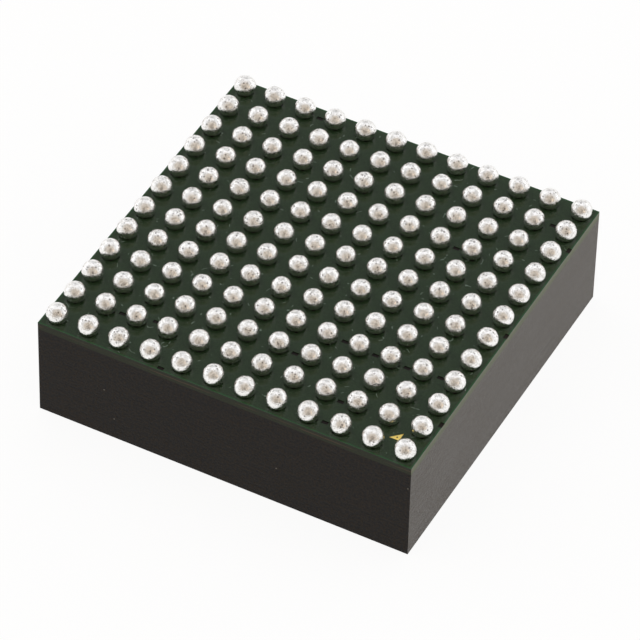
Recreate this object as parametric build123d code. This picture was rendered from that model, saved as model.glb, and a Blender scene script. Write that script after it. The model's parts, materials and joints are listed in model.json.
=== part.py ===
from build123d import *
import math
import os

# Digital isolator module: a square moulded package with a full grid of solder balls.
# Millimetres. The origin is the centre of the flat moulded face that the module lies on.
# +Z points to the balls, -Y is the front face, and ball A1 stands in the +X, -Y corner.
# Ball rows A to M run from +X to -X. The isolation barrier is the plane y = 0:
# the logic side is in front of it and the isolated side is behind it.

# Body
mould_height = 4.0
core_thickness = 0.27
mask_thickness = 0.025

# Solder balls
ball_spacing = 1.27
ball_to_edge = 0.515
row_letters = "abcdefghjklm"
ball_height = 0.66
ball_diameter = 0.82
ball_waist_height = 0.22
ball_shoulder_diameter = 0.72
ball_shoulder_height = 0.46
ball_sides = 6
mask_opening_width = 0.63
foot_clearance = 0.02

# Etch-back slots between the balls: their centres from the centre lines, in ball spacings
slot_length = 0.25
slot_width = 0.15
slot_places = [
    (5, 4.72),
    (3, 2.52),
    (5, -2.37),
    (4, -2.48),
    (3, -2.46),
    (2, -2.39),
    (1, -3.49),
    (3, -4.55),
    (3, -5.47),
    (-2, -5.82),
    (-3, -4.27),
    (-4, -4.44),
    (-3, 5.51),
]
edge_slot_inset = 0.07
edge_slot_step = 4

# Corner mark beside ball A1
mark_leg = 0.39
mark_to_ball = 0.5
mark_thickness = 0.018

# Parts inside the mould, all hung from the board face at the mould's top
part_gap = 0.8
part_clearance = 0.2

chip_length = 3.0
chip_width = 2.4
chip_thickness = 0.25
chip_x = 3.6
adhesive_thickness = 0.03

wire_count = 5
wire_pitch = 0.5
wire_thickness = 0.04
wire_inset = 0.2
wire_peak = 0.3
wire_loop_height = 0.16
wire_span = 0.8

coil_size = 1.6
coil_turns = 2
coil_spacing = 2.0
track_width = 0.12
track_gap = 0.12
track_thickness = 0.035
coil_cover = 0.03

transformer_x = -2.9
transformer_length = 6.0
transformer_depth = 4.4
transformer_height = 1.8
window_length = 3.2
window_depth = 2.0
winding_length = 2.6
winding_thickness = 0.3

small_capacitor_count = 4
small_capacitor_length = 1.6
small_capacitor_width = 0.8
small_capacitor_height = 0.8
small_capacitor_terminal = 0.35
large_capacitor_length = 2.0
large_capacitor_width = 1.25
large_capacitor_height = 1.25
large_capacitor_terminal = 0.5
resistor_count = 2
resistor_length = 1.0
resistor_width = 0.5
resistor_height = 0.35
resistor_terminal = 0.25

inductor_length = 2.5
inductor_width = 1.6
inductor_height = 1.4
inductor_terminal = 0.4

diode_count = 2
diode_length = 1.7
diode_width = 1.25
diode_height = 0.85
diode_spacing = 3.2
lead_length = 0.3
lead_width = 0.3
lead_thickness = 0.15

# Levels worked out from the sizes above
board_face = mould_height
core_bottom = board_face + mask_thickness
core_top = core_bottom + core_thickness
ball_face = core_top + mask_thickness
grid_half = (len(row_letters) - 1) * ball_spacing / 2
half_side = grid_half + ball_to_edge
body_side = 2 * half_side
winding_reach = transformer_depth / 2 + winding_thickness
inductor_reach = winding_reach + part_clearance + inductor_width


def block(length, width, height, x, y, bottom):
    """A block of the given size, centred on x and y, with its lowest face at bottom."""
    return Pos(x, y, bottom) * Box(length, width, height, align=(Align.CENTER, Align.CENTER, Align.MIN))


def hung_block(length, width, height, x, y, top=board_face):
    """A block that hangs down from the level top."""
    return block(length, width, height, x, y, top - height)


def to_isolated_side(solids):
    """The same solids on the other side of the isolation barrier."""
    return [mirror(solid, about=Plane.XZ) for solid in solids]


def grid_centres():
    """Ball centres, row by row from +X to -X, each row from the front to the back."""
    places = [step * ball_spacing - grid_half for step in range(len(row_letters))]
    return [[(-row, column) for column in places] for row in places]


def ring(radius, height, half_steps):
    """Corner points of a regular polygon, turned by a number of half steps."""
    step = 2 * math.pi / ball_sides
    angles = [(corner + half_steps / 2) * step for corner in range(ball_sides)]
    return [Vector(radius * math.cos(angle), radius * math.sin(angle), height) for angle in angles]


def facet(*corners):
    """A flat face through its corner points."""
    return Face(Wire.make_polygon(corners))


def band(lower, upper):
    """Triangles between two rings, the upper one turned half a step further."""
    faces = []
    for corner in range(ball_sides):
        following = (corner + 1) % ball_sides
        faces.append(facet(lower[corner], lower[following], upper[corner]))
        faces.append(facet(lower[following], upper[following], upper[corner]))
    return faces


def solder_ball():
    """One reflowed ball: a foot in the mask opening, a waist, a shoulder and a crown."""
    flat_to_corner = 1 / math.cos(math.pi / ball_sides)
    foot = ring((mask_opening_width / 2 - foot_clearance) * flat_to_corner, core_top, 0)
    waist = ring(ball_diameter / 2, ball_face + ball_waist_height, 1)
    shoulder = ring(ball_shoulder_diameter / 2, ball_face + ball_shoulder_height, 2)
    crown = Vector(0, 0, ball_face + ball_height)
    faces = [facet(*foot)]
    faces += band(foot, waist)
    faces += band(waist, shoulder)
    faces += [facet(shoulder[corner - 1], shoulder[corner], crown) for corner in range(ball_sides)]
    return Solid(Shell(faces))


def ball_row(centres):
    """The balls of one row, each a solid of its own."""
    ball = solder_ball()
    return [Pos(x, y, 0) * ball for x, y in centres]


def corner_mark_outline():
    """Right-angled triangle that points at ball A1 from between the corner balls."""
    corner_x = grid_half - mark_to_ball
    corner_y = -grid_half + mark_to_ball
    points = [
        (corner_x, corner_y),
        (corner_x, corner_y + mark_leg),
        (corner_x - mark_leg, corner_y),
    ]
    return make_face(Polyline(*points, close=True))


def ball_side_mask():
    """Mask film with an opening at each ball, the etch-back slots and the mark's opening."""
    opening = RegularPolygon(mask_opening_width / 2, ball_sides, major_radius=False)
    openings = [Pos(x, y) * opening for centres in grid_centres() for x, y in centres]
    slot = Rectangle(slot_length, slot_width)
    slots = [Pos(x * ball_spacing, y * ball_spacing) * slot for x, y in slot_places]
    edge_slot = Rectangle(slot_width, slot_length)
    edge_x = half_side - edge_slot_inset
    edge_step = edge_slot_step * ball_spacing
    edge_slots = [Pos(edge_x, side * edge_step) * edge_slot for side in (-1, 0, 1)]
    film = Rectangle(body_side, body_side) - openings - slots - edge_slots - corner_mark_outline()
    return Pos(0, 0, core_top) * extrude(film, mask_thickness)


def square_spiral():
    """Outline of one coil: a square spiral track that starts at its outer corner."""
    pitch = track_width + track_gap
    reach = (coil_size - track_width) / 2
    points = [(-reach, -reach)]
    for turn in range(coil_turns):
        radius = reach - turn * pitch
        points += [(radius, -radius), (radius, radius), (-radius, radius), (-radius, -radius + pitch)]
    arms = []
    for (x0, y0), (x1, y1) in zip(points, points[1:]):
        arm = Rectangle(abs(x1 - x0) + track_width, abs(y1 - y0) + track_width)
        arms.append(Pos((x0 + x1) / 2, (y0 + y1) / 2) * arm)
    return Sketch() + arms


def coupler_coils(bottom):
    """A pair of coils across the barrier, with their lower faces at the level bottom."""
    coil = extrude(square_spiral(), track_thickness)
    offsets = (-coil_spacing / 2, coil_spacing / 2)
    return [Pos(chip_x + offset, 0, bottom) * coil for offset in offsets]


def logic_chip():
    """Silicon chip of the logic side, on its adhesive film, in line with the inductor's outer face."""
    y = chip_width / 2 - inductor_reach
    film = hung_block(chip_length, chip_width, adhesive_thickness, chip_x, y)
    chip = hung_block(chip_length, chip_width, chip_thickness, chip_x, y, board_face - adhesive_thickness)
    return chip, film


def logic_bond_wires():
    """Bent wires from the logic chip's face to the board, on its barrier side."""
    drop = chip_thickness + adhesive_thickness
    outline = [
        (0, 0),
        (wire_peak, -wire_loop_height),
        (wire_span, drop),
        (wire_span - wire_thickness, drop),
        (wire_peak, wire_thickness - wire_loop_height),
        (wire_thickness, 0),
    ]
    profile = Plane.YZ * make_face(Polyline(*outline, close=True))
    wire = extrude(profile, wire_thickness / 2, both=True)
    first_x = chip_x - (wire_count - 1) * wire_pitch / 2
    start_y = chip_width - inductor_reach - wire_inset
    start_z = board_face - drop
    return [Pos(first_x + step * wire_pitch, start_y, start_z) * wire for step in range(wire_count)]


def transformer():
    """Ferrite frame that crosses the barrier, with a winding tight on each of its long legs."""
    core_level = board_face - winding_thickness
    frame = Rectangle(transformer_length, transformer_depth) - Rectangle(window_length, window_depth)
    core = Pos(transformer_x, 0, core_level - transformer_height) * extrude(frame, transformer_height)
    leg_depth = (transformer_depth - window_depth) / 2
    leg_y = -(transformer_depth + window_depth) / 4
    sleeve_depth = leg_depth + 2 * winding_thickness
    sleeve_height = transformer_height + 2 * winding_thickness
    sleeve = hung_block(winding_length, sleeve_depth, sleeve_height, transformer_x, leg_y)
    leg = hung_block(winding_length, leg_depth, transformer_height, transformer_x, leg_y, core_level)
    winding = sleeve - leg
    return core, winding


def two_terminal_part(length, width, height, terminal, x, y):
    """A chip part that lies along Y: its body and its two end terminals."""
    body = hung_block(width, length - 2 * terminal, height, x, y)
    reach = (length - terminal) / 2
    terminals = [hung_block(width, terminal, height, x, y + side * reach) for side in (-1, 1)]
    return body, terminals


def logic_edge_parts():
    """Capacitors and resistors in a row in front of the inductor and the chip."""
    kinds = [
        ("capacitor", small_capacitor_count, small_capacitor_length, small_capacitor_width,
         small_capacitor_height, small_capacitor_terminal),
        ("capacitor", 1, large_capacitor_length, large_capacitor_width,
         large_capacitor_height, large_capacitor_terminal),
        ("resistor", resistor_count, resistor_length, resistor_width,
         resistor_height, resistor_terminal),
    ]
    found = {"capacitor": ([], []), "resistor": ([], [])}
    left = transformer_x - transformer_length / 2
    row_back = -(inductor_reach + part_clearance)
    for kind, count, length, width, height, terminal in kinds:
        y = row_back - length / 2
        for _ in range(count):
            body, terminals = two_terminal_part(length, width, height, terminal, left + width / 2, y)
            found[kind][0].append(body)
            found[kind][1].extend(terminals)
            left += width + part_gap
    return found


def power_inductor():
    """Inductor of the power supply, between the transformer and the front row of parts."""
    y = inductor_width / 2 - inductor_reach
    body_length = inductor_length - 2 * inductor_terminal
    body = hung_block(body_length, inductor_width, inductor_height, transformer_x, y)
    reach = (inductor_length - inductor_terminal) / 2
    ends = (transformer_x - reach, transformer_x + reach)
    terminals = [hung_block(inductor_terminal, inductor_width, inductor_height, x, y) for x in ends]
    return body, terminals


def rectifier_diodes():
    """Rectifier diodes behind the transformer: moulded bodies with a flat lead at each end."""
    y = winding_reach + part_clearance + diode_width / 2
    first_x = transformer_x - (diode_count - 1) * diode_spacing / 2
    reach = (diode_length + lead_length) / 2
    bodies = []
    leads = []
    for step in range(diode_count):
        x = first_x + step * diode_spacing
        bodies.append(hung_block(diode_length, diode_width, diode_height, x, y))
        leads += [hung_block(lead_length, lead_width, lead_thickness, x + end, y) for end in (-reach, reach)]
    return bodies, leads


def moulded_parts():
    """Every piece that the mould surrounds, by node name."""
    chip, adhesive = logic_chip()
    wires = logic_bond_wires()
    core, winding = transformer()
    edge_parts = logic_edge_parts()
    capacitors, capacitor_terminals = edge_parts["capacitor"]
    resistors, resistor_terminals = edge_parts["resistor"]
    inductor, inductor_terminals = power_inductor()
    diodes, diode_leads = rectifier_diodes()
    return {
        "logic_side_chip": [chip],
        "logic_chip_adhesive": [adhesive],
        "logic_chip_bond_wires": wires,
        "isolated_side_chip": to_isolated_side([chip]),
        "isolated_chip_adhesive": to_isolated_side([adhesive]),
        "isolated_chip_bond_wires": to_isolated_side(wires),
        "transformer_core": [core],
        "primary_winding": [winding],
        "secondary_winding": to_isolated_side([winding]),
        "logic_side_capacitors": capacitors,
        "logic_capacitor_terminals": capacitor_terminals,
        "isolated_side_capacitors": to_isolated_side(capacitors),
        "isolated_capacitor_terminals": to_isolated_side(capacitor_terminals),
        "logic_side_resistors": resistors,
        "logic_resistor_terminals": resistor_terminals,
        "isolated_side_resistors": to_isolated_side(resistors),
        "isolated_resistor_terminals": to_isolated_side(resistor_terminals),
        "power_inductor": [inductor],
        "inductor_terminals": inductor_terminals,
        "rectifier_diodes": diodes,
        "diode_leads": diode_leads,
    }


def all_solids(groups):
    """The solids of several nodes in one list."""
    return [solid for solids in groups.values() for solid in solids]


# Assembly
coils = {
    "logic_side_coils": coupler_coils(core_bottom + coil_cover),
    "isolated_side_coils": coupler_coils(core_top - coil_cover - track_thickness),
}
inner_parts = moulded_parts()

nodes = {}
nodes["mould_cap"] = [block(body_side, body_side, mould_height, 0, 0, 0) - all_solids(inner_parts)]
nodes["solder_mask_part_side"] = [block(body_side, body_side, mask_thickness, 0, 0, board_face)]
nodes["laminate_core"] = [block(body_side, body_side, core_thickness, 0, 0, core_bottom) - all_solids(coils)]
nodes["solder_mask_ball_side"] = [ball_side_mask()]
nodes["corner_mark"] = [Pos(0, 0, core_top) * extrude(corner_mark_outline(), mark_thickness)]
for letter, centres in zip(row_letters, grid_centres()):
    nodes["ball_row_" + letter] = ball_row(centres)
nodes.update(coils)
nodes.update(inner_parts)

os.makedirs("parts", exist_ok=True)
for name, solids in nodes.items():
    export_step(Compound(solids), f"parts/{name}.step")
print(len(nodes), "nodes written")
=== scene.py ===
"""Finishes, solder balls and studio for a digital isolator module.

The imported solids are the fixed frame. The solder balls get rounder meshes in the places of
their solids, and every other piece gets its finish. Names that end in _mm are lengths in
millimetres, and Blender's own lengths are in metres.
"""

import json
import logging
import math
import random
from dataclasses import dataclass
from enum import Enum

import bpy
from mathutils import Matrix, Vector


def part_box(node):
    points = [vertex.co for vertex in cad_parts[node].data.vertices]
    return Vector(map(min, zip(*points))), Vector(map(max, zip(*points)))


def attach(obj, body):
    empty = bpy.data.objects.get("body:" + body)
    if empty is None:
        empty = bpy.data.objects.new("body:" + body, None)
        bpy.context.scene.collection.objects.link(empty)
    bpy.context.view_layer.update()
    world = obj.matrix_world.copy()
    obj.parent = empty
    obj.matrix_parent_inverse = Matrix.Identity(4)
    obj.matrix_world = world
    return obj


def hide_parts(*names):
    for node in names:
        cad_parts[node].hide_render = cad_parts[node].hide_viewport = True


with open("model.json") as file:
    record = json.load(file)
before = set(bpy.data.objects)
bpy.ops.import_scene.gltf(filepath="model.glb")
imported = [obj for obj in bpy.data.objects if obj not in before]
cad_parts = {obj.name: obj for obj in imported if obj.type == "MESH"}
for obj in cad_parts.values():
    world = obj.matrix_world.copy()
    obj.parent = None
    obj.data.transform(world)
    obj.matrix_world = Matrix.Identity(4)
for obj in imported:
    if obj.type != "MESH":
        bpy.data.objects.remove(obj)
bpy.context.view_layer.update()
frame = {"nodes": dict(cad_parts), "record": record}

Socket = bpy.types.NodeSocket
Span = tuple[float, float]
Triple = tuple[float, float, float]
Colour = Triple
Signal = Socket | float | Colour

MM = 0.001
BODY = "root"
BURIED_FILM = "solder_mask_part_side"
CUT_TOLERANCE = 1e-8
NOISE_MIDDLE = 0.5
# A Mix node keeps sockets for every kind of value. These are its two colours and their mix.
MIX_FIRST, MIX_SECOND, MIX_RESULT = 6, 7, 2
# How fast a streak changes along the cut, where 1 is how fast it changes across the cut.
STREAK_CHANGE_ALONG = 0.05
STREAK_WAVER_PER_MM = 0.6
# Upward part of the normal up to which a face counts as upright, and from which it counts as lying.
LYING_SPAN = (0.4, 0.8)

log = logging.getLogger("isolator_module")


class Slot(Enum):
    """Material slots of the module, by their names in the record."""

    MOULD = "mould_compound"
    LAMINATE = "laminate"
    MASK = "solder_mask"
    GOLD = "gold_plating"
    SOLDER = "solder"
    COPPER = "copper"
    BOND_WIRE = "bond_wire"
    SILICON = "silicon"
    ADHESIVE = "adhesive"
    FERRITE = "ferrite"
    CAPACITOR = "capacitor_ceramic"
    RESISTOR = "resistor_ceramic"
    TIN = "tin_plating"
    DIODE = "diode_moulding"


class Effect(Enum):
    """Shader node groups that more than one finish may use."""

    GRAIN = "surface_grain"
    SPECKS = "fine_specks"
    STREAKS = "sawing_streaks"


class LampPlace(Enum):
    """Places of the soft lamps round the module, as azimuth and elevation in degrees."""

    RIGHT = (112.0, 30.0)
    BACK_RIGHT = (160.0, 32.0)
    BACK_LEFT = (254.0, 32.0)


@dataclass(frozen=True)
class Lamp:
    """A square soft lamp: where it stands, its side and how bright its face is, where 1 is white."""

    place: LampPlace
    side_mm: float
    brightness: float


@dataclass(frozen=True)
class Patch:
    """A round patch of the surroundings: its place, half width and soft edge in degrees, and its colour."""

    azimuth: float
    elevation: float
    half_width: float
    soft_edge: float
    colour: Colour


@dataclass
class NodeBoard:
    """Adds, sets and wires the nodes of one node tree."""

    tree: bpy.types.NodeTree

    def add(self, kind: str, **settings: object) -> bpy.types.Node:
        """Add a node.

        Args:
            kind: Blender's name of the node type.
            **settings: properties of the node to set.

        Returns:
            The new node.
        """
        node = self.tree.nodes.new(kind)
        for name, value in settings.items():
            setattr(node, name, value)
        return node

    def feed(self, socket: Socket, signal: Signal) -> None:
        """Wire a signal to an input socket, or set the socket to a constant.

        Args:
            socket: the input socket.
            signal: the output of another node, a number or a colour.
        """
        if isinstance(signal, Socket):
            self.tree.links.new(signal, socket)
        elif isinstance(signal, tuple) and socket.type == "RGBA":
            socket.default_value = (*signal, 1.0)
        else:
            socket.default_value = signal

    def maths(self, operation: str, first: Signal, second: Signal = 0.0) -> Socket:
        """Combine two values.

        Args:
            operation: Blender's name of the Math node's operation.
            first: the first value.
            second: the second value, which some operations don't use.

        Returns:
            The result.
        """
        node = self.add("ShaderNodeMath", operation=operation)
        self.feed(node.inputs[0], first)
        self.feed(node.inputs[1], second)
        return node.outputs[0]

    def weighted_sum(self, first: Signal, first_weight: float, second: Signal,
                     second_weight: float) -> Socket:
        """Add two values, each times its weight, and return the sum."""
        weighted = self.maths("MULTIPLY", first, first_weight)
        return self.maths("ADD", weighted, self.maths("MULTIPLY", second, second_weight))

    def remap(self, value: Signal, low: Signal, high: Signal, to_low: float = 0.0,
              to_high: float = 1.0) -> Socket:
        """Map a value smoothly from one range to another.

        Args:
            value: what is mapped.
            low: value that gives to_low.
            high: value that gives to_high.
            to_low: result at the low end.
            to_high: result at the high end.

        Returns:
            The mapped value.
        """
        node = self.add("ShaderNodeMapRange", interpolation_type="SMOOTHSTEP")
        for socket, signal in zip(node.inputs, (value, low, high, to_low, to_high)):
            self.feed(socket, signal)
        return node.outputs[0]

    def blend(self, factor: Signal, first: Signal, second: Signal) -> Socket:
        """Mix two colours.

        Args:
            factor: 0 for the first colour, 1 for the second.
            first: the first colour.
            second: the second colour.

        Returns:
            The mixed colour.
        """
        node = self.add("ShaderNodeMix", data_type="RGBA")
        self.feed(node.inputs["Factor"], factor)
        self.feed(node.inputs[MIX_FIRST], first)
        self.feed(node.inputs[MIX_SECOND], second)
        return node.outputs[MIX_RESULT]

    def noise(self, vector: Signal, scale: Signal, detail: float, roughness: float = 0.5) -> Socket:
        """Add a Noise texture.

        Args:
            vector: place on the module.
            scale: how closely its lumps lie.
            detail: number of finer layers.
            roughness: strength of each finer layer against the one before.

        Returns:
            The value of the noise.
        """
        node = self.add("ShaderNodeTexNoise")
        self.feed(node.inputs["Vector"], vector)
        self.feed(node.inputs["Scale"], scale)
        self.feed(node.inputs["Detail"], detail)
        self.feed(node.inputs["Roughness"], roughness)
        return node.outputs["Fac"]

    def stretched(self, vector: Signal, factors: Triple) -> Socket:
        """Stretch a vector.

        Args:
            vector: the vector.
            factors: factor of each of its components.

        Returns:
            The stretched vector.
        """
        node = self.add("ShaderNodeVectorMath", operation="MULTIPLY")
        self.feed(node.inputs[0], vector)
        node.inputs[1].default_value = factors
        return node.outputs[0]

    def component(self, vector: Signal, axis: str) -> Socket:
        """Take one component of a vector.

        Args:
            vector: the vector.
            axis: X, Y or Z.

        Returns:
            The component.
        """
        node = self.add("ShaderNodeSeparateXYZ")
        self.feed(node.inputs[0], vector)
        return node.outputs[axis]

    def upward(self) -> Socket:
        """Return the upward part of the surface's normal: 1 on a level face, 0 on an upright one."""
        return self.component(self.add("ShaderNodeNewGeometry").outputs["Normal"], "Z")

    def place_mm(self) -> Socket:
        """Find the place on the module.

        Returns:
            The place in millimetres.
        """
        coordinates = self.add("ShaderNodeTexCoord")
        mapping = self.add("ShaderNodeMapping")
        mapping.inputs["Scale"].default_value = (1 / MM,) * 3
        self.feed(mapping.inputs["Vector"], coordinates.outputs["Object"])
        return mapping.outputs["Vector"]

    def bump(self, height: Signal, depth_mm: float = 1.0) -> Socket:
        """Turn a relief into a normal.

        Args:
            height: height of the relief.
            depth_mm: how far a height of 1 stands proud, which is 1 mm for a height in millimetres.

        Returns:
            The normal.
        """
        node = self.add("ShaderNodeBump")
        node.inputs["Distance"].default_value = depth_mm * MM
        self.feed(node.inputs["Height"], height)
        return node.outputs["Normal"]


class EffectShelf:
    """Builds each shared effect once and places it in the materials that ask for it."""

    def __init__(self) -> None:
        """Build the node groups."""
        makers = {
            Effect.GRAIN: self._make_grain,
            Effect.SPECKS: self._make_specks,
            Effect.STREAKS: self._make_streaks,
        }
        self.groups = {effect: maker() for effect, maker in makers.items()}

    def place(self, board: NodeBoard, effect: Effect, vector: Signal, **values: float) -> Socket:
        """Place an effect in a material.

        Args:
            board: the board of the material.
            effect: which effect.
            vector: place on the module in millimetres.
            **values: the effect's own inputs, in lower case.

        Returns:
            The effect's output.
        """
        node = board.add("ShaderNodeGroup", node_tree=self.groups[effect])
        board.feed(node.inputs["Vector"], vector)
        for name, value in values.items():
            board.feed(node.inputs[name.capitalize()], value)
        return node.outputs[0]

    @staticmethod
    def _begin(effect: Effect, inputs: dict[str, float],
               output: str) -> tuple[NodeBoard, bpy.types.Node, bpy.types.Node]:
        """Start a group with a vector input, number inputs and one output.

        Args:
            effect: which effect.
            inputs: names and usual values of the number inputs.
            output: name of the output.

        Returns:
            The board of the group, its input node and its output node.
        """
        tree = bpy.data.node_groups.new(effect.value, "ShaderNodeTree")
        tree.interface.new_socket("Vector", in_out="INPUT", socket_type="NodeSocketVector")
        for name, value in inputs.items():
            socket = tree.interface.new_socket(name, in_out="INPUT", socket_type="NodeSocketFloat")
            socket.default_value = value
        tree.interface.new_socket(output, in_out="OUTPUT", socket_type="NodeSocketFloat")
        board = NodeBoard(tree)
        return board, board.add("NodeGroupInput"), board.add("NodeGroupOutput")

    def _make_grain(self) -> bpy.types.NodeTree:
        """Make uneven grain: half the sum of a coarse and a fine noise.

        Returns:
            The node group.
        """
        board, given, result = self._begin(Effect.GRAIN, {"Scale": 10.0, "Fineness": 3.0}, "Height")
        coarse = board.noise(given.outputs["Vector"], given.outputs["Scale"], detail=2.0)
        fine_scale = board.maths("MULTIPLY", given.outputs["Scale"], given.outputs["Fineness"])
        fine = board.noise(given.outputs["Vector"], fine_scale, detail=3.0, roughness=0.6)
        both = board.maths("ADD", coarse, fine)
        board.feed(result.inputs[0], board.maths("MULTIPLY", both, 0.5))
        return board.tree

    def _make_specks(self) -> bpy.types.NodeTree:
        """Make scattered round specks: a random share of small cells, each with a dot in its middle.

        Returns:
            The node group.
        """
        inputs = {"Scale": 8.0, "Share": 0.1, "Width": 0.2}
        board, given, result = self._begin(Effect.SPECKS, inputs, "Mask")
        cells = board.add("ShaderNodeTexVoronoi")
        board.feed(cells.inputs["Vector"], given.outputs["Vector"])
        board.feed(cells.inputs["Scale"], given.outputs["Scale"])
        colour_parts = board.add("ShaderNodeSeparateColor")
        board.feed(colour_parts.inputs[0], cells.outputs["Color"])
        chosen = board.maths("LESS_THAN", colour_parts.outputs["Red"], given.outputs["Share"])
        dot = board.remap(cells.outputs["Distance"], given.outputs["Width"], 0.0)
        board.feed(result.inputs[0], board.maths("MULTIPLY", chosen, dot))
        return board.tree

    def _make_streaks(self) -> bpy.types.NodeTree:
        """Make level streaks of a saw blade: noise drawn out along the cut.

        Returns:
            The node group.
        """
        board, given, result = self._begin(Effect.STREAKS, {"Pitch": 12.0, "Waver": 0.05}, "Height")
        factors = (STREAK_CHANGE_ALONG, STREAK_CHANGE_ALONG, 1.0)
        drawn_out = board.stretched(given.outputs["Vector"], factors)
        waver = board.noise(given.outputs["Vector"], STREAK_WAVER_PER_MM, detail=1.0)
        shift = board.add("ShaderNodeVectorMath", operation="ADD")
        board.feed(shift.inputs[0], drawn_out)
        board.feed(shift.inputs[1], board.maths("MULTIPLY", waver, given.outputs["Waver"]))
        lines = board.noise(shift.outputs[0], given.outputs["Pitch"], detail=3.0, roughness=0.65)
        board.feed(result.inputs[0], lines)
        return board.tree


@dataclass(frozen=True)
class Finish:
    """A finish with an even colour that its grain makes lighter and darker.

    Each span gives the two values of the grain between which the colour goes from shade to colour,
    or the roughness from its first change to its second, which are factors of the roughness.
    """

    colour: Colour
    shade: Colour
    roughness: float
    metallic: float = 0.0
    grain_per_mm: float = 12.0
    relief_mm: float = 0.002
    ior: float = 1.5
    sheen: float = 0.0
    sheen_spread: float = 0.33
    sheen_tint: Colour = (1.0, 0.95, 0.88)
    tint_span: Span = (0.35, 0.65)
    gloss_span: Span = (0.3, 0.7)
    gloss_change: Span = (0.8, 1.2)

    def material(self, name: str, shelf: EffectShelf) -> bpy.types.Material:
        """Make the material.

        Args:
            name: name of the material.
            shelf: the shared effects.

        Returns:
            The finished material.
        """
        material = bpy.data.materials.new(name)
        material.use_nodes = True
        board = NodeBoard(material.node_tree)
        shader = next(node for node in board.tree.nodes if node.type == "BSDF_PRINCIPLED")
        shader.inputs["Metallic"].default_value = self.metallic
        shader.inputs["IOR"].default_value = self.ior
        shader.inputs["Sheen Weight"].default_value = self.sheen
        shader.inputs["Sheen Roughness"].default_value = self.sheen_spread
        shader.inputs["Sheen Tint"].default_value = (*self.sheen_tint, 1.0)
        self.dress(board, shader, shelf)
        return material

    def tinted(self, board: NodeBoard, pattern: Socket) -> Socket:
        """Return the colour, which goes from shade to colour as a pattern rises."""
        return board.blend(board.remap(pattern, *self.tint_span), self.shade, self.colour)

    def uneven_roughness(self, board: NodeBoard, pattern: Socket) -> Socket:
        """Return the roughness, which rises with a pattern."""
        smoothest, roughest = (self.roughness * change for change in self.gloss_change)
        return board.remap(pattern, *self.gloss_span, smoothest, roughest)

    def dress(self, board: NodeBoard, shader: bpy.types.Node, shelf: EffectShelf) -> None:
        """Wire the finish to the shader of its material.

        Args:
            board: the board of the material.
            shader: the shader.
            shelf: the shared effects.
        """
        grain = shelf.place(board, Effect.GRAIN, board.place_mm(), scale=self.grain_per_mm)
        board.feed(shader.inputs["Base Color"], self.tinted(board, grain))
        board.feed(shader.inputs["Roughness"], self.uneven_roughness(board, grain))
        board.feed(shader.inputs["Normal"], board.bump(grain, self.relief_mm))


@dataclass(frozen=True)
class MouldFinish(Finish):
    """Sawn moulding compound: a warm black with filler grain, faint level saw streaks and pale specks."""

    tint_span: Span = (0.46, 0.56)
    gloss_span: Span = (0.46, 0.56)
    gloss_change: Span = (0.6, 1.3)
    speck: Colour = (0.36, 0.34, 0.30)
    specks_per_mm: float = 5.0
    speck_share: float = 0.010
    streak_share: float = 0.15
    streaks_per_mm: float = 9.0
    streak_relief_mm: float = 0.004

    def dress(self, board: NodeBoard, shader: bpy.types.Node, shelf: EffectShelf) -> None:
        """Wire the finish to the shader of its material.

        Args:
            board: the board of the material.
            shader: the shader.
            shelf: the shared effects.
        """
        place = board.place_mm()
        grain = shelf.place(board, Effect.GRAIN, place, scale=self.grain_per_mm)
        streaks = shelf.place(board, Effect.STREAKS, place, pitch=self.streaks_per_mm)
        specks = shelf.place(board, Effect.SPECKS, place, scale=self.specks_per_mm,
                             share=self.speck_share)
        tone = board.weighted_sum(grain, 1 - self.streak_share, streaks, self.streak_share)
        board.feed(shader.inputs["Base Color"], board.blend(specks, self.tinted(board, tone), self.speck))
        board.feed(shader.inputs["Roughness"], self.uneven_roughness(board, tone))
        relief = board.weighted_sum(grain, self.relief_mm, streaks, self.streak_relief_mm)
        board.feed(shader.inputs["Normal"], board.bump(relief))


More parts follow.
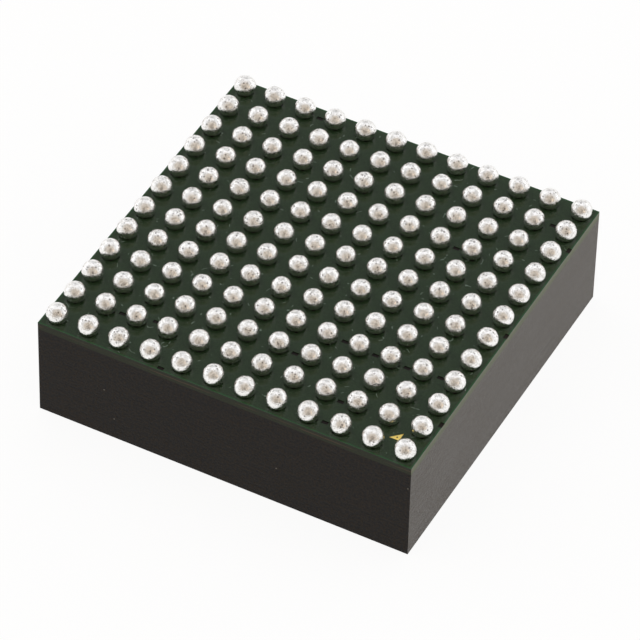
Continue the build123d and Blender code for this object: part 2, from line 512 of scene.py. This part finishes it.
@dataclass(frozen=True)
class LaminateFinish(Finish):
    """Sawn laminate: glass cloth with a line of copper, darker resin above it, and dark slot floors.

    Levels are heights in the laminate, from 0 at its lower face to 1 at its upper face.
    """

    resin: Colour = (0.010, 0.012, 0.005)
    resin_span: Span = (0.55, 0.9)
    copper: Colour = (0.075, 0.038, 0.028)
    copper_level: float = 0.52
    copper_reach: float = 0.20
    copper_break_per_mm: float = 0.8
    copper_break_span: Span = (0.42, 0.6)
    waver_per_mm: float = 2.2
    waver_height: float = 0.3
    slot_floor: Colour = (0.005, 0.001, 0.001)

    def dress(self, board: NodeBoard, shader: bpy.types.Node, shelf: EffectShelf) -> None:
        """Wire the finish to the shader of its material.

        Args:
            board: the board of the material.
            shader: the shader.
            shelf: the shared effects.
        """
        place = board.place_mm()
        grain = shelf.place(board, Effect.GRAIN, place, scale=self.grain_per_mm)
        level = self._level(board, place)
        resinous = board.remap(level, *self.resin_span)
        edge = board.blend(resinous, self.tinted(board, grain), self.resin)
        edge = board.blend(self._copper_line(board, place, level), edge, self.copper)
        lying = board.remap(board.upward(), *LYING_SPAN)
        board.feed(shader.inputs["Base Color"], board.blend(lying, edge, self.slot_floor))
        board.feed(shader.inputs["Roughness"], self.uneven_roughness(board, grain))
        board.feed(shader.inputs["Normal"], board.bump(grain, self.relief_mm))

    def _level(self, board: NodeBoard, place: Socket) -> Socket:
        """Find the level in the laminate, which wavers from place to place.

        Args:
            board: the board of the material.
            place: place on the module in millimetres.

        Returns:
            The level.
        """
        low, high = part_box("laminate_core")
        level = board.remap(board.component(place, "Z"), low.z / MM, high.z / MM)
        waver = board.maths("SUBTRACT", board.noise(place, self.waver_per_mm, detail=3.0), NOISE_MIDDLE)
        return board.maths("ADD", level, board.maths("MULTIPLY", waver, self.waver_height))

    def _copper_line(self, board: NodeBoard, place: Socket, level: Socket) -> Socket:
        """Mask the line of copper, which breaks off here and there.

        Args:
            board: the board of the material.
            place: place on the module in millimetres.
            level: level in the laminate.

        Returns:
            1 on the line, falling to 0 beside it and at its breaks.
        """
        off_line = board.maths("ABSOLUTE", board.maths("SUBTRACT", level, self.copper_level))
        breaks = board.noise(place, self.copper_break_per_mm, detail=2.0)
        unbroken = board.remap(breaks, *self.copper_break_span)
        return board.maths("MULTIPLY", board.remap(off_line, self.copper_reach, 0.0), unbroken)


@dataclass(frozen=True)
class MaskFinish(Finish):
    """Glossy solder mask: deep mottled green with short scratches, and a chipped brighter rim.

    The rim fades in over edge_fade, which is in widths of the rim from the side of the module.
    """

    gloss_change: Span = (0.7, 1.4)
    edge: Colour = (0.018, 0.080, 0.024)
    edge_width_mm: float = 0.08
    edge_fade: Span = (-0.6, 0.4)
    sawn_side: Colour = (0.016, 0.034, 0.010)
    mottle_per_mm: float = 26.0
    mottle_relief_share: float = 0.35
    chip: Colour = (0.20, 0.27, 0.22)
    chips_per_mm: float = 2.4
    chip_share: float = 0.10
    scratch: Colour = (0.15, 0.21, 0.16)
    scratch_bend_per_mm: float = 2.1
    scratch_width: float = 0.022
    scratch_core_share: float = 0.3
    scratch_spots_per_bend: float = 1.7
    scratch_spot_level: float = 0.655
    scratch_spot_fade: float = 0.03

    def dress(self, board: NodeBoard, shader: bpy.types.Node, shelf: EffectShelf) -> None:
        """Wire the finish to the shader of its material.

        Args:
            board: the board of the material.
            shader: the shader.
            shelf: the shared effects.
        """
        place = board.place_mm()
        grain = shelf.place(board, Effect.GRAIN, place, scale=self.grain_per_mm)
        mottle = shelf.place(board, Effect.GRAIN, place, scale=self.mottle_per_mm)
        chips = shelf.place(board, Effect.SPECKS, place, scale=self.chips_per_mm, share=self.chip_share)
        film = board.blend(self._scratches(board, place), self.tinted(board, mottle), self.scratch)
        rim = board.blend(chips, self.edge, self.chip)
        face = board.blend(self._rim_mask(board, place, grain), film, rim)
        lying = board.remap(board.maths("ABSOLUTE", board.upward()), *LYING_SPAN)
        board.feed(shader.inputs["Base Color"], board.blend(lying, self.sawn_side, face))
        board.feed(shader.inputs["Roughness"], self.uneven_roughness(board, mottle))
        mottle_relief_mm = self.relief_mm * self.mottle_relief_share
        relief = board.weighted_sum(grain, self.relief_mm, mottle, mottle_relief_mm)
        board.feed(shader.inputs["Normal"], board.bump(relief))

    def _rim_mask(self, board: NodeBoard, place: Socket, grain: Socket) -> Socket:
        """Mask the rim along the four sides, with an uneven inner border.

        Args:
            board: the board of the material.
            place: place on the module in millimetres.
            grain: the grain that makes the border uneven.

        Returns:
            1 on the rim, falling to 0 inside it.
        """
        half_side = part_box("solder_mask_ball_side")[1].x / MM
        across = board.maths("ABSOLUTE", board.component(place, "X"))
        along = board.maths("ABSOLUTE", board.component(place, "Y"))
        outermost = board.maths("MAXIMUM", across, along)
        uneven = board.maths("ADD", outermost, board.maths("MULTIPLY", grain, self.edge_width_mm))
        begin, end = (half_side + self.edge_width_mm * widths for widths in self.edge_fade)
        return board.remap(uneven, begin, end)

    def _scratches(self, board: NodeBoard, place: Socket) -> Socket:
        """Mask short curved scratches: the middle line of a slow noise, kept in a few spots.

        Args:
            board: the board of the material.
            place: place on the module in millimetres.

        Returns:
            1 on a scratch, falling to 0 beside it.
        """
        noise = board.noise(place, self.scratch_bend_per_mm, detail=0.0)
        off_line = board.maths("ABSOLUTE", board.maths("SUBTRACT", noise, NOISE_MIDDLE))
        line = board.remap(off_line, self.scratch_width, self.scratch_width * self.scratch_core_share)
        spots_per_mm = self.scratch_bend_per_mm * self.scratch_spots_per_bend
        spots = board.noise(place, spots_per_mm, detail=1.0)
        kept = board.remap(spots, self.scratch_spot_level, self.scratch_spot_level + self.scratch_spot_fade)
        return board.maths("MULTIPLY", line, kept)


@dataclass(frozen=True)
class GoldFinish(Finish):
    """Gold plating of the corner mark, with a small dark pit in its middle."""

    pit: Colour = (0.10, 0.05, 0.01)
    pit_radius_mm: float = 0.045

    def dress(self, board: NodeBoard, shader: bpy.types.Node, shelf: EffectShelf) -> None:
        """Wire the finish to the shader of its material.

        Args:
            board: the board of the material.
            shader: the shader.
            shelf: the shared effects.
        """
        super().dress(board, shader, shelf)
        plating = shader.inputs["Base Color"].links[0].from_socket
        distance = board.add("ShaderNodeVectorMath", operation="DISTANCE")
        board.feed(distance.inputs[0], board.place_mm())
        distance.inputs[1].default_value = self._middle() / MM
        pitted = board.remap(distance.outputs["Value"], self.pit_radius_mm, self.pit_radius_mm / 2)
        board.feed(shader.inputs["Base Color"], board.blend(pitted, plating, self.pit))

    @staticmethod
    def _middle() -> Vector:
        """Middle of the mark's face: a triangle whose right angle is at +X and -Y."""
        low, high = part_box("corner_mark")
        return Vector((low.x + 2 * high.x, 2 * low.y + high.y, 3 * high.z)) / 3


@dataclass(frozen=True)
class SolderFinish(Finish):
    """Reflowed solder: bright metal with patches of frosting made by fine crystals, and small dark pits."""

    tint_span: Span = (0.40, 0.52)
    frosted_roughness: float = 0.20
    patches_per_mm: float = 1.4
    patch_span: Span = (0.44, 0.58)
    crystals_per_mm: float = 16.0
    crystal_relief_mm: float = 0.006
    pit: Colour = (0.07, 0.05, 0.04)
    pits_per_mm: float = 8.5
    pit_share: float = 0.40
    pit_width: float = 0.42

    def dress(self, board: NodeBoard, shader: bpy.types.Node, shelf: EffectShelf) -> None:
        """Wire the finish to the shader of its material.

        Args:
            board: the board of the material.
            shader: the shader.
            shelf: the shared effects.
        """
        place = board.place_mm()
        grain = shelf.place(board, Effect.GRAIN, place, scale=self.grain_per_mm)
        frosted = board.remap(board.noise(place, self.patches_per_mm, detail=1.0), *self.patch_span)
        pits = shelf.place(board, Effect.SPECKS, place, scale=self.pits_per_mm, share=self.pit_share,
                           width=self.pit_width)
        crystals = board.add("ShaderNodeTexVoronoi", feature="F1")
        board.feed(crystals.inputs["Vector"], place)
        board.feed(crystals.inputs["Scale"], self.crystals_per_mm)
        board.feed(shader.inputs["Base Color"], board.blend(pits, self.tinted(board, grain), self.pit))
        board.feed(shader.inputs["Roughness"],
                   board.remap(frosted, 0.0, 1.0, self.roughness, self.frosted_roughness))
        frosting = board.maths("MULTIPLY", crystals.outputs["Distance"], frosted)
        relief = board.weighted_sum(grain, self.relief_mm, frosting, self.crystal_relief_mm)
        board.feed(shader.inputs["Normal"], board.bump(relief))


FINISHES: dict[Slot, Finish] = {
    Slot.MOULD: MouldFinish(
        colour=(0.023, 0.017, 0.012), shade=(0.0, 0.0, 0.001), roughness=0.5, grain_per_mm=10.0,
        relief_mm=0.012, ior=1.17, sheen=1.0, sheen_tint=(1.0, 0.97, 0.92)),
    Slot.LAMINATE: LaminateFinish(
        colour=(0.018, 0.022, 0.008), shade=(0.003, 0.005, 0.001), roughness=0.40, grain_per_mm=14.0,
        ior=1.24, sheen=1.0, sheen_tint=(0.86, 1.0, 0.62)),
    Slot.MASK: MaskFinish(
        colour=(0.029, 0.056, 0.024), shade=(0.014, 0.029, 0.012), roughness=0.06, grain_per_mm=2.5,
        ior=1.34),
    Slot.GOLD: GoldFinish(
        colour=(1.0, 0.88, 0.30), shade=(1.0, 0.62, 0.05), roughness=0.45, metallic=0.1,
        grain_per_mm=9.0, relief_mm=0.004),
    Slot.SOLDER: SolderFinish(
        colour=(0.95, 0.94, 0.92), shade=(0.72, 0.70, 0.67), roughness=0.07, metallic=1.0,
        grain_per_mm=9.0, relief_mm=0.016),
    Slot.COPPER: Finish(
        colour=(0.72, 0.36, 0.20), shade=(0.50, 0.22, 0.11), roughness=0.35, metallic=1.0,
        grain_per_mm=8.0),
    Slot.BOND_WIRE: Finish(
        colour=(0.95, 0.68, 0.28), shade=(0.80, 0.52, 0.18), roughness=0.25, metallic=1.0,
        grain_per_mm=30.0, relief_mm=0.001),
    Slot.SILICON: Finish(
        colour=(0.10, 0.11, 0.14), shade=(0.06, 0.07, 0.09), roughness=0.15, metallic=0.3,
        grain_per_mm=3.0, relief_mm=0.0005),
    Slot.ADHESIVE: Finish(
        colour=(0.62, 0.58, 0.50), shade=(0.48, 0.44, 0.38), roughness=0.6),
    Slot.FERRITE: Finish(
        colour=(0.045, 0.043, 0.045), shade=(0.025, 0.024, 0.026), roughness=0.55,
        grain_per_mm=16.0, relief_mm=0.004),
    Slot.CAPACITOR: Finish(
        colour=(0.42, 0.27, 0.16), shade=(0.30, 0.18, 0.10), roughness=0.45, grain_per_mm=14.0),
    Slot.RESISTOR: Finish(
        colour=(0.04, 0.04, 0.045), shade=(0.02, 0.02, 0.024), roughness=0.3, grain_per_mm=10.0),
    Slot.TIN: Finish(
        colour=(0.78, 0.77, 0.75), shade=(0.60, 0.59, 0.58), roughness=0.38, metallic=1.0,
        grain_per_mm=20.0, relief_mm=0.003),
    Slot.DIODE: Finish(
        colour=(0.022, 0.022, 0.024), shade=(0.012, 0.012, 0.014), roughness=0.5,
        grain_per_mm=16.0, relief_mm=0.004),
}


class Wardrobe:
    """Makes the material of each slot and puts it on CAD nodes and new pieces."""

    def __init__(self) -> None:
        """Build the shared effects and one material for each slot."""
        shelf = EffectShelf()
        self.materials = {slot: finish.material(slot.value, shelf) for slot, finish in FINISHES.items()}

    def dress(self, piece: bpy.types.Object, slot: Slot) -> None:
        """Leave a piece with the one material of its slot."""
        piece.data.materials.clear()
        piece.data.materials.append(self.materials[slot])

    def dress_nodes(self) -> None:
        """Dress every CAD node; the film on the mould shows only a sawn edge and gets the laminate's."""
        for entry in frame["record"]["subparts"]:
            slot = Slot(entry["material_slot"])
            if entry["node"] == BURIED_FILM:
                slot = Slot.LAMINATE
            self.dress(frame["nodes"][entry["node"]], slot)
            log.info("dressed %s in %s", entry["node"], slot.value)


def deselect_all() -> None:
    """Leave no object selected."""
    bpy.ops.object.select_all(action="DESELECT")


def select_only(piece: bpy.types.Object) -> None:
    """Select one piece, make it the active one and deselect all others.

    Args:
        piece: the piece.
    """
    deselect_all()
    piece.select_set(True)
    bpy.context.view_layer.objects.active = piece


def begin_edit(piece: bpy.types.Object) -> None:
    """Open one piece in edit mode with nothing selected in it.

    Args:
        piece: the piece.
    """
    select_only(piece)
    bpy.ops.object.mode_set(mode="EDIT")
    bpy.ops.mesh.select_mode(type="FACE")
    bpy.ops.mesh.select_all(action="DESELECT")


def end_edit() -> None:
    """Return to object mode."""
    bpy.ops.object.mode_set(mode="OBJECT")


def settle(piece: bpy.types.Object) -> None:
    """Put a piece's place, turn and scale into its mesh."""
    select_only(piece)
    bpy.ops.object.transform_apply(location=True, rotation=True, scale=True)


def apply_modifiers(piece: bpy.types.Object) -> None:
    """Apply the modifiers of a piece in their order.

    Args:
        piece: the piece.
    """
    select_only(piece)
    for name in [modifier.name for modifier in piece.modifiers]:
        bpy.ops.object.modifier_apply(modifier=name)


def copy_of(piece: bpy.types.Object) -> bpy.types.Object:
    """Copy a piece.

    Args:
        piece: the piece.

    Returns:
        The copy, which has a mesh of its own.
    """
    twin = piece.copy()
    twin.data = piece.data.copy()
    bpy.context.scene.collection.objects.link(twin)
    return twin


def hand_over(piece: bpy.types.Object, name: str, slot: Slot, nodes: tuple[str, ...],
              wardrobe: Wardrobe) -> None:
    """Name, dress and seat a finished piece.

    Args:
        piece: the finished piece.
        name: its final name.
        slot: its material slot.
        nodes: the CAD nodes that it stands for.
        wardrobe: the materials.
    """
    piece.name = name
    piece.data.name = name
    wardrobe.dress(piece, slot)
    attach(piece, BODY)
    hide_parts(*nodes)
    log.info("built %s: %d faces", name, len(piece.data.polygons))


@dataclass
class SolderBallGrid:
    """The rows of reflowed solder balls, each row one piece that stands for its CAD row."""

    row_letters: str = "abcdefghjklm"
    opening_mm: float = 0.63
    foot_clearance_mm: float = 0.02
    segments: int = 44
    rings: int = 32
    lump_size_mm: float = 0.22
    lump_height_mm: float = 0.010
    skin_size_mm: float = 0.07
    skin_height_mm: float = 0.004
    place_error_mm: float = 0.010
    size_error: float = 0.012
    seed: int = 12

    def build(self, wardrobe: Wardrobe) -> None:
        """Model one ball, copy it into every row and finish each row.

        Args:
            wardrobe: the materials.
        """
        chance = random.Random(self.seed)
        ball = self._model_ball()
        ruler = self._millimetre_ruler()
        for letter in self.row_letters:
            row = self._lay_row(ball, letter, chance)
            self._add_relief(row, ruler)
            node = "ball_row_" + letter
            hand_over(row, "solder_balls_row_" + letter, Slot.SOLDER, (node,), wardrobe)
        bpy.data.objects.remove(ball)
        bpy.data.objects.remove(ruler)

    def _levels(self) -> tuple[float, float, float]:
        """Heights of the ball's foot, of the mask face and of the ball's crown."""
        low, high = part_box("ball_row_" + self.row_letters[0])
        return low.z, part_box("solder_mask_ball_side")[1].z, high.z

    def _spacing(self) -> float:
        """Way from one row to the next."""
        first, second = (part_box("ball_row_" + letter) for letter in self.row_letters[:2])
        return abs(first[0].x - second[0].x)

    def _diameter(self) -> float:
        """Width of a ball: the length of a row, less the way from its first centre to its last."""
        low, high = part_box("ball_row_" + self.row_letters[0])
        return high.y - low.y - (len(self.row_letters) - 1) * self._spacing()

    def _model_ball(self) -> bpy.types.Object:
        """Model one ball on the Z axis: a sphere that lies on the mask, with a foot through its opening.

        Returns:
            The ball.
        """
        foot, face, crown = self._levels()
        radius = self._diameter() / 2
        centre = crown - radius
        deselect_all()
        bpy.ops.mesh.primitive_uv_sphere_add(segments=self.segments, ring_count=self.rings, radius=radius,
                                             location=(0, 0, centre))
        ball = bpy.context.active_object
        settle(ball)
        begin_edit(ball)
        bpy.ops.mesh.select_all(action="SELECT")
        bpy.ops.mesh.bisect(plane_co=(0, 0, face), plane_no=(0, 0, 1), clear_inner=True,
                            threshold=CUT_TOLERANCE)
        # The cut rim is drawn in to clear the opening, pulled down to the foot and closed
        cut_radius = math.sqrt(radius ** 2 - (centre - face) ** 2)
        narrowing = (self.opening_mm / 2 - self.foot_clearance_mm) * MM / cut_radius
        bpy.ops.mesh.extrude_region_move(TRANSFORM_OT_translate={"value": (0, 0, 0)})
        bpy.ops.transform.resize(value=(narrowing, narrowing, 1), center_override=(0, 0, face))
        bpy.ops.mesh.extrude_region_move(TRANSFORM_OT_translate={"value": (0, 0, foot - face)})
        bpy.ops.mesh.edge_face_add()
        bpy.ops.mesh.select_all(action="SELECT")
        bpy.ops.mesh.normals_make_consistent(inside=False)
        end_edit()
        return ball

    def _millimetre_ruler(self) -> bpy.types.Object:
        """Add an empty whose own coordinates are millimetres, for the relief's textures.

        Returns:
            The empty.
        """
        deselect_all()
        bpy.ops.object.empty_add()
        ruler = bpy.context.active_object
        ruler.scale = (MM, MM, MM)
        bpy.context.view_layer.update()
        return ruler

    def _lay_row(self, ball: bpy.types.Object, letter: str, chance: random.Random) -> bpy.types.Object:
        """Place copies of the ball along one row, each a little off in place and size, and join them.

        Args:
            ball: the modelled ball.
            letter: letter of the row.
            chance: source of the small errors.

        Returns:
            The row as one object.
        """
        low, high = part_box("ball_row_" + letter)
        row_x = (low.x + high.x) / 2
        spacing = self._spacing()
        count = len(self.row_letters)
        copies = []
        for step in range(count):
            twin = copy_of(ball)
            size = 1 + chance.uniform(-self.size_error, self.size_error)
            turn = Matrix.Rotation(chance.uniform(0, math.tau), 4, "Z")
            grown = Matrix.Diagonal((size, size, 1, 1))
            place = Vector((row_x, (step - (count - 1) / 2) * spacing, 0))
            place.x += chance.uniform(-1, 1) * self.place_error_mm * MM
            place.y += chance.uniform(-1, 1) * self.place_error_mm * MM
            twin.matrix_world = Matrix.Translation(place) @ grown @ turn
            copies.append(twin)
        deselect_all()
        for twin in copies:
            twin.select_set(True)
        row = copies[0]
        bpy.context.view_layer.objects.active = row
        bpy.ops.object.join()
        settle(row)
        return row

    def _add_relief(self, row: bpy.types.Object, ruler: bpy.types.Object) -> None:
        """Give the skin of a row its low lumps and its fine frosting, and shade it smooth.

        Args:
            row: the row.
            ruler: the empty that measures the textures.
        """
        reliefs = (
            ("lumps", self.lump_size_mm, self.lump_height_mm),
            ("frosting", self.skin_size_mm, self.skin_height_mm),
        )
        for name, size, height in reliefs:
            texture = bpy.data.textures.new(name, "CLOUDS")
            texture.noise_scale = size
            texture.noise_depth = 1
            modifier = row.modifiers.new(name, "DISPLACE")
            modifier.texture = texture
            modifier.texture_coords = "OBJECT"
            modifier.texture_coords_object = ruler
            modifier.mid_level = NOISE_MIDDLE
            modifier.strength = height * MM
        apply_modifiers(row)
        bpy.ops.object.shade_smooth()


@dataclass
class Studio:
    """Pale floor, painted light tent, soft lamps and the camera at the photograph's viewing angle.

    The tent goes from its horizon's colour to its roof's between the two heights of roof_span, where
    0 is level with the module and 1 is right above it.
    """

    aim_mm: Triple = (0.390, -0.822, 2.502)
    camera_distance_mm: float = 190.66
    azimuth: float = 26.975
    elevation: float = 44.19
    roll: float = 1.499
    lens_mm: float = 296.07
    sensor_mm: float = 36.0
    floor_side_mm: float = 4000.0
    floor_drop_mm: float = 0.01
    floor_colour: Colour = (0.66, 0.65, 0.64)
    floor_glow: float = 0.92
    shade_share: float = 0.14
    tent_horizon: Colour = (0.96, 0.96, 0.96)
    tent_roof: Colour = (0.78, 0.78, 0.79)
    roof_span: Span = (0.08, 0.45)
    lamp_distance_mm: float = 600.0
    lamps: tuple[Lamp, ...] = (
        Lamp(LampPlace.RIGHT, 420.0, 0.10),
        Lamp(LampPlace.BACK_RIGHT, 300.0, 0.38),
        Lamp(LampPlace.BACK_LEFT, 300.0, 0.50),
    )
    patches: tuple[Patch, ...] = (
        # Behind the module: bright cloth high up, with a grey strip under it
        Patch(207.0, 72.0, 14.0, 18.0, (1.10, 1.10, 1.13)),
        Patch(207.0, 44.7, 9.0, 8.0, (0.62, 0.62, 0.63)),
        # Camera side: dim and brown, darker low down, with a warm glint and the lens
        Patch(27.0, 34.0, 30.0, 40.0, (0.62, 0.55, 0.475)),
        Patch(27.0, 10.0, 13.0, 14.0, (0.36, 0.32, 0.28)),
        Patch(64.0, 26.0, 4.5, 3.0, (1.6, 1.25, 0.9)),
        Patch(27.0, 37.0, 7.0, 2.0, (0.02, 0.01, 0.006)),
        # Right and left: bright and low
        Patch(131.0, 10.0, 8.0, 9.0, (1.5, 1.5, 1.55)),
        Patch(283.0, 10.0, 8.0, 9.0, (1.5, 1.5, 1.55)),
    )

    def build(self) -> None:
        """Set the floor, the light tent, the lamps and the camera."""
        self._colour_management()
        self._floor()
        self._tent()
        self._lamps()
        self._camera()
        log.info("studio ready")

    @staticmethod
    def _colour_management() -> None:
        """Show colours as they are written."""
        bpy.context.scene.view_settings.view_transform = "Standard"

    @staticmethod
    def _direction(azimuth: float, elevation: float) -> Vector:
        """Point from the module to a place round it.

        Args:
            azimuth: degrees round from the front, which is -Y, towards +X.
            elevation: degrees up from level.

        Returns:
            The unit vector.
        """
        turn = math.radians(azimuth)
        rise = math.radians(elevation)
        return Vector((math.sin(turn) * math.cos(rise), -math.cos(turn) * math.cos(rise), math.sin(rise)))

    @staticmethod
    def _seen(board: NodeBoard) -> Socket:
        """Pick out the rays that show the background.

        Args:
            board: the board of the floor's material.

        Returns:
            1 for rays from the camera, by gloss and through glass, 0 for all others.
        """
        path = board.add("ShaderNodeLightPath")
        bent = board.maths("MAXIMUM", path.outputs["Is Glossy Ray"], path.outputs["Is Transmission Ray"])
        return board.maths("MAXIMUM", path.outputs["Is Camera Ray"], bent)

    def _floor(self) -> None:
        """Lay a pale floor that reads as white and keeps the module's soft shadow."""
        deselect_all()
        drop = self.floor_drop_mm * MM
        bpy.ops.mesh.primitive_plane_add(size=self.floor_side_mm * MM, location=(0, 0, -drop))
        floor = bpy.context.active_object
        floor.name = "studio_floor"
        material = bpy.data.materials.new("pale_floor")
        material.use_nodes = True
        board = NodeBoard(material.node_tree)
        board.tree.nodes.clear()
        matte = board.add("ShaderNodeBsdfDiffuse")
        board.feed(matte.inputs["Color"], self.floor_colour)
        thin = board.add("ShaderNodeBsdfDiffuse")
        board.feed(thin.inputs["Color"], tuple(part * self.shade_share for part in self.floor_colour))
        glow = board.add("ShaderNodeEmission")
        board.feed(glow.inputs["Strength"], self.floor_glow)
        shown = board.add("ShaderNodeAddShader")
        board.feed(shown.inputs[0], thin.outputs[0])
        board.feed(shown.inputs[1], glow.outputs[0])
        choice = board.add("ShaderNodeMixShader")
        board.feed(choice.inputs[0], self._seen(board))
        board.feed(choice.inputs[1], matte.outputs[0])
        board.feed(choice.inputs[2], shown.outputs[0])
        result = board.add("ShaderNodeOutputMaterial")
        board.feed(result.inputs["Surface"], choice.outputs[0])
        floor.data.materials.append(material)

    def _tent(self) -> None:
        """Paint the light tent: pale, a little darker towards its roof, with its patches over that."""
        world = bpy.data.worlds.new("light_tent")
        bpy.context.scene.world = world
        world.use_nodes = True
        board = NodeBoard(world.node_tree)
        board.tree.nodes.clear()
        heading = board.add("ShaderNodeTexCoord").outputs["Generated"]
        height = board.remap(board.component(heading, "Z"), *self.roof_span)
        tone = board.blend(height, self.tent_horizon, self.tent_roof)
        for patch in self.patches:
            tone = board.blend(self._patch_mask(board, heading, patch), tone, patch.colour)
        background = board.add("ShaderNodeBackground")
        board.feed(background.inputs["Color"], tone)
        result = board.add("ShaderNodeOutputWorld")
        board.feed(result.inputs["Surface"], background.outputs[0])

    def _patch_mask(self, board: NodeBoard, heading: Socket, patch: Patch) -> Socket:
        """Mask a patch of the surroundings.

        Args:
            board: the board of the world.
            heading: direction from the module.
            patch: the patch.

        Returns:
            1 inside the patch, falling to 0 over its soft edge.
        """
        node = board.add("ShaderNodeVectorMath", operation="DOT_PRODUCT")
        board.feed(node.inputs[0], heading)
        node.inputs[1].default_value = self._direction(patch.azimuth, patch.elevation)
        outside = math.cos(math.radians(patch.half_width + patch.soft_edge))
        inside = math.cos(math.radians(patch.half_width))
        return board.remap(node.outputs["Value"], outside, inside)

    def _lamps(self) -> None:
        """Add large soft lamps aimed at the module."""
        for plan in self.lamps:
            direction = self._direction(*plan.place.value)
            side = plan.side_mm * MM
            deselect_all()
            bpy.ops.object.light_add(type="AREA", location=direction * self.lamp_distance_mm * MM)
            lamp = bpy.context.active_object
            lamp.name = "soft_lamp_" + plan.place.name.lower()
            lamp.rotation_euler = direction.to_track_quat("Z", "Y").to_euler()
            lamp.data.shape = "SQUARE"
            lamp.data.size = side
            # The power of an area lamp is its brightness times pi times its area
            lamp.data.energy = plan.brightness * math.pi * side ** 2

    def _camera(self) -> None:
        """Set a long lens at the photograph's angle, distance and slight roll."""
        back = self._direction(self.azimuth, self.elevation)
        data = bpy.data.cameras.new("camera")
        data.lens = self.lens_mm
        data.sensor_width = self.sensor_mm
        data.clip_start = MM
        data.clip_end = self.floor_side_mm * MM
        camera = bpy.data.objects.new("camera", data)
        bpy.context.scene.collection.objects.link(camera)
        camera.location = (Vector(self.aim_mm) + back * self.camera_distance_mm) * MM
        level = (-back).to_track_quat("-Z", "Y")
        rolled = Matrix.Rotation(math.radians(self.roll), 4, "Z")
        camera.rotation_euler = (level.to_matrix().to_4x4() @ rolled).to_euler()
        bpy.context.scene.camera = camera


def main() -> None:
    """Build the pieces in order, then the studio."""
    logging.basicConfig(level=logging.INFO, format="%(name)s: %(message)s")
    wardrobe = Wardrobe()
    wardrobe.dress_nodes()
    SolderBallGrid().build(wardrobe)
    Studio().build()


if __name__ == "__main__":
    main()
